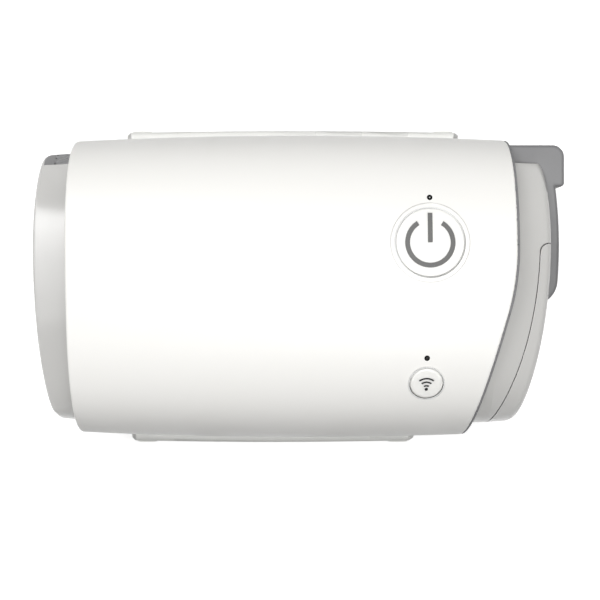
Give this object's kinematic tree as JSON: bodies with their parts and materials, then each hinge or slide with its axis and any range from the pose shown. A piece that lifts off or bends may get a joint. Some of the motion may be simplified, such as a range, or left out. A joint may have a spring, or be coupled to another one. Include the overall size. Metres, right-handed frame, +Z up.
{
  "type": "travel cpap machine",
  "caption": "Small travel CPAP machine: bowed white sleeve over a grey housing, blower inside, filter cap at one end, air outlet at the other, start and pairing buttons.",
  "frame": {"origin": "middle of the footprint, on the surface that the four foot pads stand on", "axes": "+X from the filter end towards the air outlet end, +Y across the body towards the side with the outlet's hood, +Z up through the face with the buttons"},
  "size_m": [0.1354, 0.0836, 0.052],
  "materials": {
    "sleeve_white": "satin, warm white",
    "cap_grey": "fine matt texture, light grey",
    "trim_grey": "fine matt texture, dark grey",
    "seal_rubber": "matt",
    "socket_black": "matt",
    "pin_metal": "plated",
    "filter_felt": "white fibre felt",
    "frame_plastic": "matt",
    "foam": "open-cell foam",
    "symbol_grey": "inlaid, matt",
    "button_grey": "satin, light grey",
    "symbol_dark": "inlaid, matt",
    "ring_black": "matt",
    "clear_guide": "clear moulded plastic",
    "lamp_body": "small light emitting diode",
    "switch_black": "matt",
    "plunger_white": "matt",
    "board_green": "green solder mask",
    "chip_black": "moulded package",
    "shield_steel": "tinned can",
    "capacitor_can": "can",
    "connector_white": "moulded",
    "screw_steel": "zinc plated",
    "blower_plastic": "moulded",
    "mount_silicone": "soft silicone",
    "stator_steel": "laminated steel",
    "coil_copper": "enamelled copper wire",
    "bearing_steel": "ground steel",
    "rotor_steel": "drawn steel cup",
    "shaft_steel": "ground steel",
    "impeller_plastic": "moulded",
    "hose_silicone": "ribbed silicone",
    "foot_rubber": "light grey elastomer",
    "base_white": "fine matt texture, white"
  },
  "bodies": {
    "machine": {"outer_sleeve": "sleeve_white", "outlet_collar": "trim_grey", "outlet_seal": "seal_rubber", "front_housing": "cap_grey", "rear_housing": "cap_grey", "end_panel": "cap_grey", "dc_inlet": "socket_black", "dc_centre_pin": "pin_metal", "dc_contacts": "pin_metal", "inlet_foam": "foam", "light_rings": "ring_black", "light_guides": "clear_guide", "lamps": "lamp_body", "start_switch": "switch_black", "pairing_switch": "switch_black", "main_board": "board_green", "board_chips": "chip_black", "wireless_module": "shield_steel", "capacitors": "capacitor_can", "board_connector": "connector_white", "flow_sensor": "chip_black", "board_screws": "screw_steel", "housing_screws": "screw_steel", "base_screws": "screw_steel", "blower_housing": "blower_plastic", "blower_cover": "blower_plastic", "blower_mounts": "mount_silicone", "motor_stator": "stator_steel", "motor_coils": "coil_copper", "lower_bearing": "bearing_steel", "upper_bearing": "bearing_steel", "outlet_hose": "hose_silicone", "foot_pads": "foot_rubber", "base_plate": "base_white"},
    "start_key": {"start_button": "button_grey", "start_symbol": "symbol_grey", "start_plunger": "plunger_white"},
    "pairing_key": {"pairing_button": "button_grey", "pairing_symbol": "symbol_dark", "pairing_plunger": "plunger_white"},
    "rotor": {"impeller": "impeller_plastic", "motor_rotor": "rotor_steel", "motor_shaft": "shaft_steel"},
    "filter_door": {"filter_cover": "cap_grey", "inlet_grille": "trim_grey", "filter_pad": "filter_felt", "filter_frame": "frame_plastic"}
  },
  "joints": [
    {"name": "start_press", "type": "slide", "parent": "machine", "child": "start_key", "axis": [0, 0, -1], "range_m": [0, 0.0006], "stiffness_N_per_m": 600, "springref_m": -0.001},
    {"name": "pairing_press", "type": "slide", "parent": "machine", "child": "pairing_key", "axis": [0, 0.3821, -0.9241], "range_m": [0, 0.0004], "stiffness_N_per_m": 600, "springref_m": -0.001},
    {"name": "impeller_spin", "type": "hinge", "parent": "machine", "child": "rotor", "pos_m": [-0.014, -0.0051, 0.023], "axis": [0, 0, 1], "continuous": true},
    {"name": "filter_cover_pull", "type": "slide", "parent": "machine", "child": "filter_door", "axis": [-1, 0, 0], "range_m": [0, 0.02]}
  ]
}
